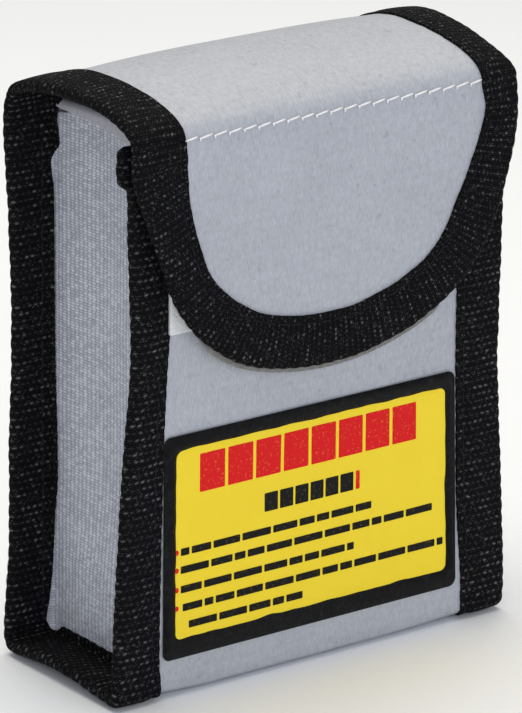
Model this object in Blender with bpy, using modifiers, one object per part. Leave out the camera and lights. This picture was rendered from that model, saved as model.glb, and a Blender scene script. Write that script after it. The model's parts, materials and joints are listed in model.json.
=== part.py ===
"""Fire-resistant storage pouch for small lithium packs: a silver coated-cloth bag with recessed side
gussets, black tape bound over every seam, a sewn front label and a flap that closes on hook and loop.

Metres, +Z up. The pouch stands on its base with its front facing -Y; the origin is under the middle.
"""

import math

import bmesh
import bpy

MM = 0.001

# Driving dimensions of the sewn pouch
WIDTH = 95.0 * MM               # over the side seam tapes at the base
POUCH_DEPTH = 38.0 * MM         # front cloth face to back cloth face
POUCH_TOP = 114.2 * MM          # where the seam tapes and the back panel end
CROWN = 122.0 * MM              # highest point of the flap's cloth
FLAP_STAND_OFF = 5.0 * MM       # the hanging flap's face stands this far ahead of the front panel
FLAP_HALF_WIDTH = 45.0 * MM     # over the tape, at the front fold
FLAP_TIP = 64.4 * MM            # lowest point of the flap's tape
FLAP_SHOULDER = 100.2 * MM       # the flap's sides are straight above this height
GUSSET_RECESS = 10.4 * MM       # the side gussets sit this far inside the seam edges

# Cloth, tape and thread
CLOTH = 0.8 * MM
LINING = 0.6 * MM
TAPE = 0.6 * MM
TAPE_WIDTH = 10.5 * MM
GAP = 0.3 * MM
THREAD_RADIUS = 0.2 * MM
CLOSURE_THICKNESS = 1.2 * MM

# Waist: the front seams draw in above the label, the back seams a little less
FRONT_WAIST = 2.6 * MM
BACK_WAIST = 1.2 * MM
WAIST_HEIGHT = 50.0 * MM

# Label, hook and loop, mouth
LABEL_HALF_WIDTH = 35.5 * MM
LABEL_LOW = 8.2 * MM
LABEL_HIGH = 54.4 * MM
LABEL_BORDER = 2.8 * MM
LOOP_LOW = 74.7 * MM
LOOP_HIGH = 99.7 * MM
HOOK_HALF_WIDTH = 24.0 * MM
HOOK_LOW = 85.2 * MM
HOOK_HIGH = 105.2 * MM
MOUTH_TAPE_DROP = 9.0 * MM
HEM_DROP = 6.5 * MM
HEM_FRONT_SETBACK = 3.5 * MM     # clear of the mouth tape
HEM_BACK_SETBACK = 10.0 * MM     # clear of the flap where it slopes down to its hinge
FOLD_HEIGHT = 114.95 * MM       # the flap folds down over the front here

# Depth of each layer's middle below the outer cloth's face
OUTER_LEAF = -(GAP + TAPE / 2)
CLOTH_MIDDLE = CLOTH / 2
GUSSET_MIDDLE = CLOTH + GAP + CLOTH / 2
SEAM_INNER_LEAF = GUSSET_MIDDLE + CLOTH / 2 + GAP + TAPE / 2
LINING_MIDDLE = CLOTH + GAP + LINING / 2
INNER_LEAF = LINING_MIDDLE + LINING / 2 + GAP + TAPE / 2

# Levels and planes worked out from the above
BASE = GAP + TAPE
CORNER_RADIUS = 3.0 * MM
REACH_FRONT = FLAP_STAND_OFF + GAP + TAPE + GAP + 2 * THREAD_RADIUS
REACH_BACK = GAP + TAPE + GAP + 2 * THREAD_RADIUS
CENTRE_Y = (REACH_FRONT - REACH_BACK) / 2
FRONT_Y = CENTRE_Y - POUCH_DEPTH / 2
BACK_Y = CENTRE_Y + POUCH_DEPTH / 2
HALF_CLOTH = WIDTH / 2 - TAPE - GAP
GUSSET_X = WIDTH / 2 - GUSSET_RECESS
FLAP_Y = FRONT_Y - FLAP_STAND_OFF
CROWN_Y = CENTRE_Y + 1.0 * MM
HINGE_Y = BACK_Y + GAP + TAPE
HINGE_Z = POUCH_TOP + GAP / 2
FOLD_AXIS_Y = FLAP_Y - GAP - TAPE
SEAM_TAPE_INNER_X = LABEL_HALF_WIDTH + 0.4 * MM

COLOURS = {
    "silver_cloth": ((0.44, 0.46, 0.50, 1.0), 0.55, 0.25),
    "lining_cloth": ((0.62, 0.63, 0.64, 1.0), 0.70, 0.0),
    "black_tape": ((0.012, 0.012, 0.014, 1.0), 0.75, 0.0),
    "yellow_patch": ((0.80, 0.62, 0.06, 1.0), 0.70, 0.0),
    "black_thread": ((0.015, 0.015, 0.017, 1.0), 0.60, 0.0),
    "white_thread": ((0.80, 0.81, 0.83, 1.0), 0.60, 0.0),
    "hook_and_loop": ((0.50, 0.51, 0.53, 1.0), 0.90, 0.0),
}


def clear_scene():
    for old in list(bpy.data.objects):
        bpy.data.objects.remove(old, do_unlink=True)


def material(name):
    """The named Principled material, made once and shared."""
    found = bpy.data.materials.get(name)
    if found:
        return found
    colour, roughness, metallic = COLOURS[name]
    made = bpy.data.materials.new(name)
    made.use_nodes = True
    shader = made.node_tree.nodes["Principled BSDF"]
    shader.inputs["Base Color"].default_value = colour
    shader.inputs["Roughness"].default_value = roughness
    shader.inputs["Metallic"].default_value = metallic
    return made


def place(name, data, finish, parent):
    """Puts a mesh or curve in the pouch's collection, under the empty of the body it moves with."""
    obj = bpy.data.objects.new(name, data)
    PARTS.objects.link(obj)
    data.materials.append(material(finish))
    obj.parent = parent
    obj.matrix_parent_inverse = parent.matrix_world.inverted()
    return obj


def body_empty(name, location, parent=None):
    """An empty on a joint's axis, which carries the pieces of one moving body."""
    empty = bpy.data.objects.new(name, None)
    PARTS.objects.link(empty)
    empty.location = location
    if parent:
        empty.parent = parent
        empty.location = [a - b for a, b in zip(location, parent.location)]
    bpy.context.view_layer.update()
    return empty


def thicken(obj, thickness):
    shell = obj.modifiers.new("thickness", "SOLIDIFY")
    shell.thickness = thickness
    shell.offset = 0.0
    shell.use_even_offset = True


def sheet(name, rails, thickness, finish, parent, end_face=False):
    """A sheet lofted across rails, lists of points of equal length, and thickened about its middle.

    end_face closes the loop of the last rail with one flat face, as a pan's floor.
    """
    mesh = bpy.data.meshes.new(name)
    bm = bmesh.new()
    grid = [[bm.verts.new(point) for point in rail] for rail in rails]
    for near, far in zip(grid, grid[1:]):
        for i in range(len(near) - 1):
            bm.faces.new((near[i], near[i + 1], far[i + 1], far[i]))
    if end_face:
        bm.faces.new(grid[-1])
    bmesh.ops.recalc_face_normals(bm, faces=bm.faces)
    bm.to_mesh(mesh)
    bm.free()
    obj = place(name, mesh, finish, parent)
    thicken(obj, thickness)
    return obj


def plate(name, outlines, y_middle, thickness, finish, parent):
    """A flat piece facing -Y: closed (x, z) outlines, a second one being a hole."""
    curve = bpy.data.curves.new(name, "CURVE")
    curve.dimensions = "2D"
    curve.fill_mode = "BOTH"
    curve.extrude = thickness / 2
    for outline in outlines:
        spline = curve.splines.new("POLY")
        spline.points.add(len(outline) - 1)
        for point, (x, z) in zip(spline.points, outline):
            point.co = (x, z, 0.0, 1.0)
        spline.use_cyclic_u = True
    obj = place(name, curve, finish, parent)
    obj.location = (0.0, y_middle, 0.0)
    obj.rotation_euler = (math.pi / 2, 0.0, 0.0)
    return obj


def thread(name, points, finish, parent):
    """A sewing thread that runs along a seam."""
    curve = bpy.data.curves.new(name, "CURVE")
    curve.dimensions = "3D"
    curve.bevel_depth = THREAD_RADIUS
    curve.bevel_resolution = 0
    curve.use_fill_caps = True
    spline = curve.splines.new("POLY")
    spline.points.add(len(points) - 1)
    for point, place_on_seam in zip(spline.points, points):
        point.co = (*place_on_seam, 1.0)
    return place(name, curve, finish, parent)


def rounded_box(half_width, low, high, radius, steps=4):
    """(x, z) outline of an upright rectangle with rounded corners."""
    outline = []
    centres = [(half_width, low, -90.0), (half_width, high, 0.0), (-half_width, high, 90.0), (-half_width, low, 180.0)]
    for x, z, start in centres:
        cx = x - math.copysign(radius, x)
        cz = low + radius if z == low else high - radius
        for i in range(steps + 1):
            angle = math.radians(start + 90.0 * i / steps)
            outline.append((cx + radius * math.cos(angle), cz + radius * math.sin(angle)))
    return outline


def smoothstep(t):
    t = min(max(t, 0.0), 1.0)
    return t * t * (3.0 - 2.0 * t)


def waist(y, z):
    """How far the seams are drawn in at a place on the pouch."""
    front_share = smoothstep((BACK_Y - y) / POUCH_DEPTH)
    drawn_in = BACK_WAIST + (FRONT_WAIST - BACK_WAIST) * front_share
    return drawn_in * smoothstep((z - BASE) / WAIST_HEIGHT)


def pouch_path(inset, top=POUCH_TOP):
    """(y, z) points down the front, round the base and up the back, inset from the outer face."""
    radius = CORNER_RADIUS - inset
    low = BASE + CORNER_RADIUS
    levels = [low + (top - low) * share for share in (1.0, 0.75, 0.55, 0.4, 0.28, 0.16, 0.08, 0.0)]
    points = [(FRONT_Y + inset, z) for z in levels]
    for i in range(1, 5):
        angle = math.radians(180.0 + 90.0 * i / 4)
        points.append((FRONT_Y + CORNER_RADIUS + radius * math.cos(angle), low + radius * math.sin(angle)))
    for i in range(5):
        angle = math.radians(270.0 + 90.0 * i / 4)
        points.append((BACK_Y - CORNER_RADIUS + radius * math.cos(angle), low + radius * math.sin(angle)))
    points += [(BACK_Y - inset, z) for z in reversed(levels[:-1])]
    return points


def seam_rail(inset, half_width, side, drawn=True):
    """A rail along one side of the pouch; the outer seam edges follow the waist."""
    rail = []
    for y, z in pouch_path(inset):
        x = half_width - (waist(y, z) if drawn else 0.0)
        rail.append((side * x, y, z))
    return rail


def flap_profile(depth):
    """(y, z) points over the top, from the back hinge to the front fold, depth below the outer face."""
    points = []
    rise = CROWN - POUCH_TOP - GAP
    reach = BACK_Y - 0.4 * MM - CROWN_Y
    for i in range(9):
        share = 1.0 - i / 9
        points.append((CROWN_Y + reach * share, CROWN - rise * share ** 4))
    front_reach = CROWN_Y - FLAP_Y
    front_rise = CROWN - FOLD_HEIGHT - GAP / 2
    for i in range(9):
        angle = math.radians(90.0 - 90.0 * i / 8)
        y = CROWN_Y - front_reach * math.cos(angle) ** 0.8
        z = FOLD_HEIGHT + GAP / 2 + front_rise * math.sin(angle) ** 0.8
        points.append((y, z))
    return inset_profile(points, depth)


def inner_normal(start, end):
    """Unit normal, towards the inside, of a stretch of the profile that runs from back to front."""
    dy = end[0] - start[0]
    dz = end[1] - start[1]
    length = math.hypot(dy, dz)
    return dz / -length, dy / length


def inset_profile(points, depth):
    """Moves a profile to its inner side with mitred corners; its two ends slide level."""
    normals = [inner_normal(a, b) for a, b in zip(points, points[1:])]
    moved = [(points[0][0] + depth / normals[0][0], points[0][1])]
    for (y, z), one, two in zip(points[1:-1], normals, normals[1:]):
        reach = depth / (1.0 + one[0] * two[0] + one[1] * two[1])
        moved.append((y + (one[0] + two[0]) * reach, z + (one[1] + two[1]) * reach))
    moved.append((points[-1][0] + depth / normals[-1][0], points[-1][1]))
    return moved


def flap_half_width(y, edge=0.0):
    """Half width of the flap's top, from the full pouch at the back to the narrower front fold."""
    back_share = (y - FLAP_Y) / (BACK_Y - FLAP_Y)
    back_half = WIDTH / 2 - BACK_WAIST
    return FLAP_HALF_WIDTH + (back_half - FLAP_HALF_WIDTH) * back_share - edge


def flap_top_rail(depth, edge, side):
    return [(side * flap_half_width(y, edge), y, z) for y, z in flap_profile(depth)]


def flap_outline(edge, steps=10):
    """(x, z) outline of the hanging flap, edge inside the tape's outer edge: straight sides and a rounded tip."""
    half = FLAP_HALF_WIDTH - edge
    drop = FLAP_SHOULDER - FLAP_TIP - edge
    top = FOLD_HEIGHT - GAP / 2
    right = [(half, top), (half, (top + FLAP_SHOULDER) / 2)]
    for i in range(steps + 1):
        angle = math.radians(90.0 * i / steps)
        x = half * math.cos(angle) ** 1.05
        z = FLAP_SHOULDER - drop * math.sin(angle) ** 1.05
        right.append((x, z))
    left = [(-x, z) for x, z in reversed(right[:-1])]
    return right + left


def flap_rim_rail(y, edge):
    return [(x, y, z) for x, z in flap_outline(edge)]


def build_wrap(body):
    """Front, base and back of the pouch: one outer cloth and its lining."""
    edge = [seam_rail(CLOTH_MIDDLE, HALF_CLOTH, side) for side in (-1, 1)]
    sheet("outer_wrap", edge, CLOTH, "silver_cloth", body)
    reach = GUSSET_X - CLOTH - GAP
    path = pouch_path(LINING_MIDDLE)
    lining = [[(side * reach, y, z) for y, z in path] for side in (-1, 1)]
    sheet("wrap_lining", lining, LINING, "lining_cloth", body)


def build_gusset(side, word, body):
    """A side panel set in from the seams like a shallow pan, with its lining and its hemmed top."""
    outer_edge = seam_rail(GUSSET_MIDDLE, HALF_CLOTH, side)
    corner = seam_rail(GUSSET_MIDDLE, GUSSET_X - CLOTH / 2, side, drawn=False)
    sheet(word + "_gusset", [outer_edge, corner], CLOTH, "silver_cloth", body, end_face=True)

    panel_depth = LINING_MIDDLE + LINING / 2 + 3 * GAP
    lining_x = side * (GUSSET_X - CLOTH - GAP - LINING / 2)
    levels = (BASE + panel_depth, POUCH_TOP)
    rails = [[(lining_x, y, z) for z in levels] for y in (FRONT_Y + panel_depth, BACK_Y - panel_depth)]
    sheet(word + "_gusset_lining", rails, LINING, "lining_cloth", body)

    hem_ends = (FRONT_Y + HEM_FRONT_SETBACK, BACK_Y - HEM_BACK_SETBACK)
    outer_x = side * (GUSSET_X + GAP + CLOTH / 2)
    inner_x = side * (GUSSET_X - CLOTH - GAP - LINING - GAP - CLOTH / 2)
    hem_low = POUCH_TOP - HEM_DROP
    hem_top = POUCH_TOP + GAP + CLOTH / 2
    corners = [(outer_x, hem_low), (outer_x, hem_top), (inner_x, hem_top), (inner_x, hem_low)]
    rails = [[(x, y, z) for y in hem_ends] for x, z in corners]
    sheet(word + "_gusset_hem", rails, CLOTH, "silver_cloth", body)


def build_seam(side, word, body):
    """The tape folded over a side seam all the way round, and the thread that holds it."""
    outer_edge = WIDTH / 2 - TAPE / 2
    rails = [
        seam_rail(SEAM_INNER_LEAF, GUSSET_X + GAP + 0.7 * MM, side, drawn=False),
        seam_rail(SEAM_INNER_LEAF, outer_edge, side),
        seam_rail(OUTER_LEAF, outer_edge, side),
        seam_rail(OUTER_LEAF, SEAM_TAPE_INNER_X, side, drawn=False),
    ]
    sheet(word + "_seam_binding", rails, TAPE, "black_tape", body)
    thread_x = side * (SEAM_TAPE_INNER_X + 1.6 * MM)
    lift = TAPE + 2 * GAP + THREAD_RADIUS
    for face, y in (("front", FRONT_Y - lift), ("back", BACK_Y + lift)):
        ends = [(thread_x, y, BASE + 4.0 * MM), (thread_x, y, POUCH_TOP - 2.0 * MM)]
        thread(word + "_" + face + "_seam_thread", ends, "black_thread", body)


def build_mouth(body):
    """Tape folded over the front panel's top edge, between the side seams."""
    half = GUSSET_X - CLOTH - GAP - LINING - GAP
    low = POUCH_TOP - MOUTH_TAPE_DROP
    top = POUCH_TOP + GAP + TAPE / 2
    outer = FRONT_Y + OUTER_LEAF
    inner = FRONT_Y + INNER_LEAF
    rails = [[(x, y, z) for x in (-half, half)] for y, z in ((outer, low), (outer, top), (inner, top), (inner, low))]
    sheet("mouth_binding", rails, TAPE, "black_tape", body)


def build_front_pieces(body):
    """The loop strip under the flap and the label with its raised border."""
    strip_y = FRONT_Y - GAP - CLOSURE_THICKNESS / 2
    strip = rounded_box(LABEL_HALF_WIDTH, LOOP_LOW, LOOP_HIGH, 0.8 * MM, 2)
    plate("loop_strip", [strip], strip_y, CLOSURE_THICKNESS, "hook_and_loop", body)

    border_thickness = 0.9 * MM
    patch_thickness = 0.5 * MM
    outer = rounded_box(LABEL_HALF_WIDTH, LABEL_LOW, LABEL_HIGH, 1.6 * MM)
    inner_half = LABEL_HALF_WIDTH - LABEL_BORDER
    inner = rounded_box(inner_half, LABEL_LOW + LABEL_BORDER, LABEL_HIGH - LABEL_BORDER, 0.8 * MM)
    border_y = FRONT_Y - GAP - border_thickness / 2
    plate("label_border", [outer, inner], border_y, border_thickness, "black_thread", body)
    low = LABEL_LOW + LABEL_BORDER + GAP
    high = LABEL_HIGH - LABEL_BORDER - GAP
    field = rounded_box(inner_half - GAP, low, high, 0.6 * MM)
    plate("label_patch", [field], FRONT_Y - GAP - patch_thickness / 2, patch_thickness, "yellow_patch", body)


def build_flap_top(body):
    """The flap's top, from the back hinge over the mouth to the front fold."""
    cloth_edge = TAPE + GAP
    cloth = [flap_top_rail(CLOTH_MIDDLE, cloth_edge, side) for side in (-1, 1)]
    sheet("flap_top_panel", cloth, CLOTH, "silver_cloth", body)
    lining = [flap_top_rail(LINING_MIDDLE, cloth_edge + GAP, side) for side in (-1, 1)]
    sheet("flap_top_lining", lining, LINING, "lining_cloth", body)
    for side, word in ((-1, "left"), (1, "right")):
        rails = [
            flap_top_rail(INNER_LEAF, TAPE_WIDTH - 0.5 * MM, side),
            flap_top_rail(INNER_LEAF, TAPE / 2, side),
            flap_top_rail(OUTER_LEAF, TAPE / 2, side),
            flap_top_rail(OUTER_LEAF, TAPE_WIDTH, side),
        ]
        sheet("flap_top_" + word + "_binding", rails, TAPE, "black_tape", body)
    half = FLAP_HALF_WIDTH - TAPE_WIDTH - 0.6 * MM
    y = FLAP_Y - GAP - THREAD_RADIUS
    z = FOLD_HEIGHT + GAP / 2 + 0.6 * MM
    thread("fold_thread", [(-half, y, z), (half, y, z)], "white_thread", body)


def build_flap_front(body):
    """The flap's hanging front, its tape rim and the hook strip inside it."""
    cloth_edge = TAPE + GAP
    plate("flap_front_panel", [flap_outline(cloth_edge)], FLAP_Y + CLOTH_MIDDLE, CLOTH, "silver_cloth", body)
    lining_outline = [flap_outline(cloth_edge + GAP)]
    plate("flap_front_lining", lining_outline, FLAP_Y + LINING_MIDDLE, LINING, "lining_cloth", body)
    rails = [
        flap_rim_rail(FLAP_Y + INNER_LEAF, TAPE_WIDTH - 0.5 * MM),
        flap_rim_rail(FLAP_Y + INNER_LEAF, TAPE / 2),
        flap_rim_rail(FLAP_Y + OUTER_LEAF, TAPE / 2),
        flap_rim_rail(FLAP_Y + OUTER_LEAF, TAPE_WIDTH),
    ]
    sheet("flap_front_binding", rails, TAPE, "black_tape", body)
    hook_y = FLAP_Y + LINING_MIDDLE + LINING / 2 + GAP + CLOSURE_THICKNESS / 2
    hook = rounded_box(HOOK_HALF_WIDTH, HOOK_LOW, HOOK_HIGH, 0.8 * MM, 2)
    plate("hook_strip", [hook], hook_y, CLOSURE_THICKNESS, "hook_and_loop", body)
    rim_y = FLAP_Y - 2 * GAP - TAPE - THREAD_RADIUS
    thread("flap_rim_thread", flap_rim_rail(rim_y, TAPE_WIDTH - 1.6 * MM), "black_thread", body)


clear_scene()
PARTS = bpy.data.collections.new("fire_resistant_pouch")
bpy.context.scene.collection.children.link(PARTS)
POUCH = body_empty("pouch", (0.0, 0.0, 0.0))
FLAP_TOP = body_empty("flap_top", (0.0, HINGE_Y, HINGE_Z), POUCH)
FLAP_FRONT = body_empty("flap_front", (0.0, FOLD_AXIS_Y, FOLD_HEIGHT), FLAP_TOP)

build_wrap(POUCH)
for sign, label in ((-1, "left"), (1, "right")):
    build_gusset(sign, label, POUCH)
    build_seam(sign, label, POUCH)
build_mouth(POUCH)
build_front_pieces(POUCH)
build_flap_top(FLAP_TOP)
build_flap_front(FLAP_FRONT)
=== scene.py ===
import json
import math

import bmesh
import bpy
from mathutils import Matrix, Vector, noise


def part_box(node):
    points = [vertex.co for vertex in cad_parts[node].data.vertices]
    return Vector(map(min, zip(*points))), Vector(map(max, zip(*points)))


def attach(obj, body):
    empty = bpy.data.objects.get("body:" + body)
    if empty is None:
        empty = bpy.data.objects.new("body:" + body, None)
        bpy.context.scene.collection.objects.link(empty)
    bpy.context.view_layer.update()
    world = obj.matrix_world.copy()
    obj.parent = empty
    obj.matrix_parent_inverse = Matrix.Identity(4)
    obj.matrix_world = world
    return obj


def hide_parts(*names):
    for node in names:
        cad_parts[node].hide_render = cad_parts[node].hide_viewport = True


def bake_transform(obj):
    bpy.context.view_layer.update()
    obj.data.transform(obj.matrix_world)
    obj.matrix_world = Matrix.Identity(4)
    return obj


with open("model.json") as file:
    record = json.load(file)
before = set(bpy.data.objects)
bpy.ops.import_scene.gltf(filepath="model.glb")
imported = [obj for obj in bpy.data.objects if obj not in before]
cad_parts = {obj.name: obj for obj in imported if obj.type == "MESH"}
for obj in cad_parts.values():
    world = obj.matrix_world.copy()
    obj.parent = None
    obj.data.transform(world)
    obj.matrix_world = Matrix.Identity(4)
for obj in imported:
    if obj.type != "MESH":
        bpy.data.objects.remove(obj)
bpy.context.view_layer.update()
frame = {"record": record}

# ---------------------------------------------------------------- sizes, read from the frame
MM = 0.001


def box_of(node):
    """Lowest and highest corner of a CAD node."""
    return tuple(Vector(corner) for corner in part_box(node))


def axis_of(name):
    """A point on a joint's axis."""
    joints = frame["record"]["behaviour"]["joints"]
    return Vector(next(joint["pos_m"] for joint in joints if joint["name"] == name))


WRAP_LOW, WRAP_HIGH = box_of("outer_wrap")
SEAM_HIGH = box_of("right_seam_binding")[1]
GUSSET_LOW = box_of("right_gusset")[0]
DOME_HIGH = box_of("flap_top_panel")[1]
RIM_LOW = box_of("flap_front_binding")[0]
PANEL_LOW = box_of("flap_front_panel")[0]
LABEL_LOW, LABEL_HIGH = box_of("label_border")
FIELD_LOW, FIELD_HIGH = box_of("label_patch")
LOOP_LOW, LOOP_HIGH = box_of("loop_strip")
HOOK_LOW, HOOK_HIGH = box_of("hook_strip")
HEM_LOW, HEM_HIGH = box_of("right_gusset_hem")
MOUTH_LOW, MOUTH_HIGH = box_of("mouth_binding")
HINGE = axis_of("flap_hinge")
FOLD = axis_of("flap_fold")

HALF_WIDTH = SEAM_HIGH.x
FRONT_Y = WRAP_LOW.y
BACK_Y = WRAP_HIGH.y
BASE_Z = WRAP_LOW.z
TOP_Z = WRAP_HIGH.z
CENTRE_Y = (FRONT_Y + BACK_Y) / 2
FLAP_Y = PANEL_LOW.y
CROWN_Z = DOME_HIGH.z
CROWN_Y = CENTRE_Y + 1.0 * MM
FOLD_Z = FOLD.z
TIP_Z = RIM_LOW.z
GUSSET_X = GUSSET_LOW.x + 0.3 * MM
FRONT_RADIUS = 1.6 * MM
BACK_RADIUS = 2.8 * MM
BACK_SLOPE = 4.6 * MM             # how far the flap's top falls from its crown to its back corner

# Layers, as depth below the outer face of the outer cloth
CLOTH = 0.65 * MM
LINING = 0.5 * MM
TAPE = 0.5 * MM
TAPE_WIDTH = 10.5 * MM
OUTER_LEAF = -0.31 * MM
CLOTH_MIDDLE = CLOTH / 2
GUSSET_MIDDLE = 1.05 * MM
# Radius of the side panel's outward turn, and how far below the hinge its back edge ends
CORNER = 1.1 * MM
TUCK = 2.8 * MM
WRAP_LINING_MIDDLE = 1.25 * MM
FLAP_LINING_MIDDLE = 0.95 * MM
SEAM_INNER_LEAF = 1.70 * MM
FLAP_INNER_LEAF = 1.50 * MM

# Sewing
FRONT_TAPE_EDGE = 35.9 * MM       # inner edge of the front seam tapes, where nothing pulls it
STITCH = 3.35 * MM                # one stitch of the machine seam
STITCH_INSET = 1.7 * MM           # from the tape's inner edge to its stitches
TAPE_ROW = 1.45 * MM              # one row of the tape's weave
STITCH_RADIUS = 0.19 * MM
STITCH_SHARE = 0.78               # part of a stitch's pitch that its thread covers
SEAM_OVERRUN = 2.5 * MM           # how far the pouch's cloth and tape reach past the back hinge
CLOTH_INSET = 0.8 * MM            # from the tape's outer edge to the cloth inside it
MOUTH_INSET = 1.3 * MM            # from the mouth tape's top to the front's cloth
UV_NAME = "cloth"


# ---------------------------------------------------------------- small helpers
def smoothstep(t):
    """Rises smoothly from 0 to 1 while t does."""
    t = min(max(t, 0.0), 1.0)
    return t * t * (3.0 - 2.0 * t)


def through(rows, s):
    """Values at s of a smooth curve through rows of (position, value, value...)."""
    if s <= rows[0][0]:
        return rows[0][1:]
    if s >= rows[-1][0]:
        return rows[-1][1:]
    i = next(k for k in range(1, len(rows)) if s <= rows[k][0]) - 1
    before = rows[max(i - 1, 0)]
    a = rows[i]
    b = rows[i + 1]
    after = rows[min(i + 2, len(rows) - 1)]
    span = b[0] - a[0]
    t = (s - a[0]) / span
    made = []
    for k in range(1, len(a)):
        slope_a = (b[k] - before[k]) / (b[0] - before[0]) * span
        slope_b = (after[k] - a[k]) / (after[0] - a[0]) * span
        made.append((2 * t ** 3 - 3 * t ** 2 + 1) * a[k] + (t ** 3 - 2 * t ** 2 + t) * slope_a
                    + (3 * t ** 2 - 2 * t ** 3) * b[k] + (t ** 3 - t ** 2) * slope_b)
    return tuple(made)


def steps(start, end, count):
    """count + 1 evenly spaced values, both ends included."""
    return [start + (end - start) * i / count for i in range(count + 1)]


def arc(cy, cz, radius, start, end, count):
    """(y, z) points on an arc, angles in degrees."""
    angles = [math.radians(a) for a in steps(start, end, count)]
    return [(cy + radius * math.cos(a), cz + radius * math.sin(a)) for a in angles]


def of_side(values, side):
    """The left value on side -1, the right value on side 1."""
    return values[0 if side < 0 else 1]


def soft_noise(x, y, z, size, seed):
    """Smooth noise from -1 to 1 with features of about this size."""
    return noise.noise(Vector((x / size + seed, y / size - seed, z / size + 2.0 * seed)))


class Run:
    """A (y, z) line measured by its own length, with a way to step to its inner side."""

    STEP = 0.5 * MM
    BLUR_ROUNDS = 2
    NORMAL_REACH = 4.0 * MM

    def __init__(self, points):
        self.points = self.resample(points)
        for _ in range(self.BLUR_ROUNDS):
            p = self.points
            inner = [tuple((a + 2 * b + c) / 4 for a, b, c in zip(*trio)) for trio in zip(p, p[1:], p[2:])]
            self.points = [p[0]] + inner + [p[-1]]
        self.lengths = [0.0]
        for a, b in zip(self.points, self.points[1:]):
            self.lengths.append(self.lengths[-1] + math.dist(a, b))
        self.length = self.lengths[-1]

    def resample(self, points):
        """The same line with a point about every step."""
        made = [points[0]]
        for a, b in zip(points, points[1:]):
            count = max(1, round(math.dist(a, b) / self.STEP))
            made += [tuple(p + (q - p) * i / count for p, q in zip(a, b)) for i in range(1, count + 1)]
        return made

    def index(self, s):
        """The piece of the line that s falls on, and its share of that piece."""
        s = min(max(s, 0.0), self.length)
        guess = min(int(s / self.length * (len(self.points) - 1)), len(self.points) - 2)
        while guess > 0 and self.lengths[guess] > s:
            guess -= 1
        while guess < len(self.points) - 2 and self.lengths[guess + 1] < s:
            guess += 1
        span = self.lengths[guess + 1] - self.lengths[guess]
        return guess, (s - self.lengths[guess]) / span

    def normal(self, s):
        """Unit (y, z) towards the pouch's inside, turned gradually so that deep layers don't fold over."""
        a = self.place(s - self.NORMAL_REACH)
        b = self.place(s + self.NORMAL_REACH)
        dy = b[0] - a[0]
        dz = b[1] - a[1]
        length = math.hypot(dy, dz)
        return -dz / length, dy / length

    def place(self, s):
        """(y, z) on the line."""
        i, share = self.index(s)
        return tuple(p + (q - p) * share for p, q in zip(self.points[i], self.points[i + 1]))

    def at(self, s, depth=0.0):
        """(y, z) at a depth below the line."""
        return tuple(p + depth * m for p, m in zip(self.place(s), self.normal(s)))

    def nearest(self, y, z):
        """The length at the point of the line nearest (y, z)."""
        best = min(range(len(self.points)), key=lambda i: math.dist(self.points[i], (y, z)))
        return self.lengths[best]


def outer_line():
    """The outer face from the side: down the front, under the base, up the back, over and down the flap."""
    line = [(FRONT_Y, TOP_Z)]
    line += arc(FRONT_Y + FRONT_RADIUS, BASE_Z + FRONT_RADIUS, FRONT_RADIUS, 180.0, 270.0, 5)
    line += arc(BACK_Y - BACK_RADIUS, BASE_Z + BACK_RADIUS, BACK_RADIUS, 270.0, 360.0, 8)
    line.append((BACK_Y, TOP_Z - 1.5 * MM))
    reach = BACK_Y - 0.4 * MM - CROWN_Y
    wall = CROWN_Z - TOP_Z - BACK_SLOPE
    for share in steps(0.995, 0.05, 40):
        line.append((CROWN_Y + reach * share, CROWN_Z - BACK_SLOPE * share ** 2 - wall * share ** 24))
    for angle in steps(90.0, 0.0, 30):
        across = abs(math.cos(math.radians(angle))) ** 0.85
        up = math.sin(math.radians(angle)) ** 0.85
        line.append((CROWN_Y - (CROWN_Y - FLAP_Y) * across, FOLD_Z + (CROWN_Z - FOLD_Z) * up))
    line.append((FLAP_Y, TIP_Z))
    return Run(line)


LINE = outer_line()
S_FRONT_LOW = LINE.nearest(FRONT_Y, BASE_Z + FRONT_RADIUS)
S_BACK_LOW = LINE.nearest(BACK_Y, BASE_Z + BACK_RADIUS)
S_HINGE = LINE.nearest(BACK_Y, HINGE.z)
S_CROWN = LINE.nearest(CROWN_Y, CROWN_Z)
S_FOLD = LINE.nearest(FLAP_Y, FOLD_Z)
S_START = S_HINGE + SEAM_OVERRUN


def front_s(height):
    """Place on the front at a height in millimetres."""
    return TOP_Z - height * MM


def back_s(height):
    """Place on the back at a height in millimetres."""
    return S_BACK_LOW + height * MM - BASE_Z - BACK_RADIUS


# How far the left and right edges are drawn in from the full width along the line, in millimetres
DRAWN_IN = [(s, left * MM, right * MM) for s, left, right in (
    (front_s(114), 1.4, 1.5),
    (front_s(107.6), 1.4, 1.6),
    (front_s(105.3), 3.6, 1.6),
    (front_s(98), 3.8, 1.3),
    (front_s(70), 4.6, 1.6),
    (front_s(55), 3.2, 1.7),
    (front_s(37), 1.9, 0.6),
    (front_s(27), 1.3, -0.1),
    (front_s(16), 0.7, -0.8),
    (front_s(6), 0.4, -1.2),
    (S_FRONT_LOW, 0.2, -1.1),
    (S_BACK_LOW, -0.3, -0.5),
    (back_s(20), 0.8, 0.2),
    (back_s(32), 1.1, 0.6),
    (back_s(43), 1.1, 0.9),
    (back_s(64), 1.8, 1.1),
    (back_s(84), 1.5, 1.0),
    (back_s(105), 0.4, 0.3),
    (S_HINGE, 0.2, 0.2),
    (S_CROWN, 0.9, 1.6),
    (S_CROWN + 16.0 * MM, 1.0, 2.5),
    (S_FOLD, 1.1, 2.1),
)]


def half_width(s, side):
    """Half width over the tape at s, on the side -1 or 1."""
    return HALF_WIDTH - of_side(through(DRAWN_IN, s), side)


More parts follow.
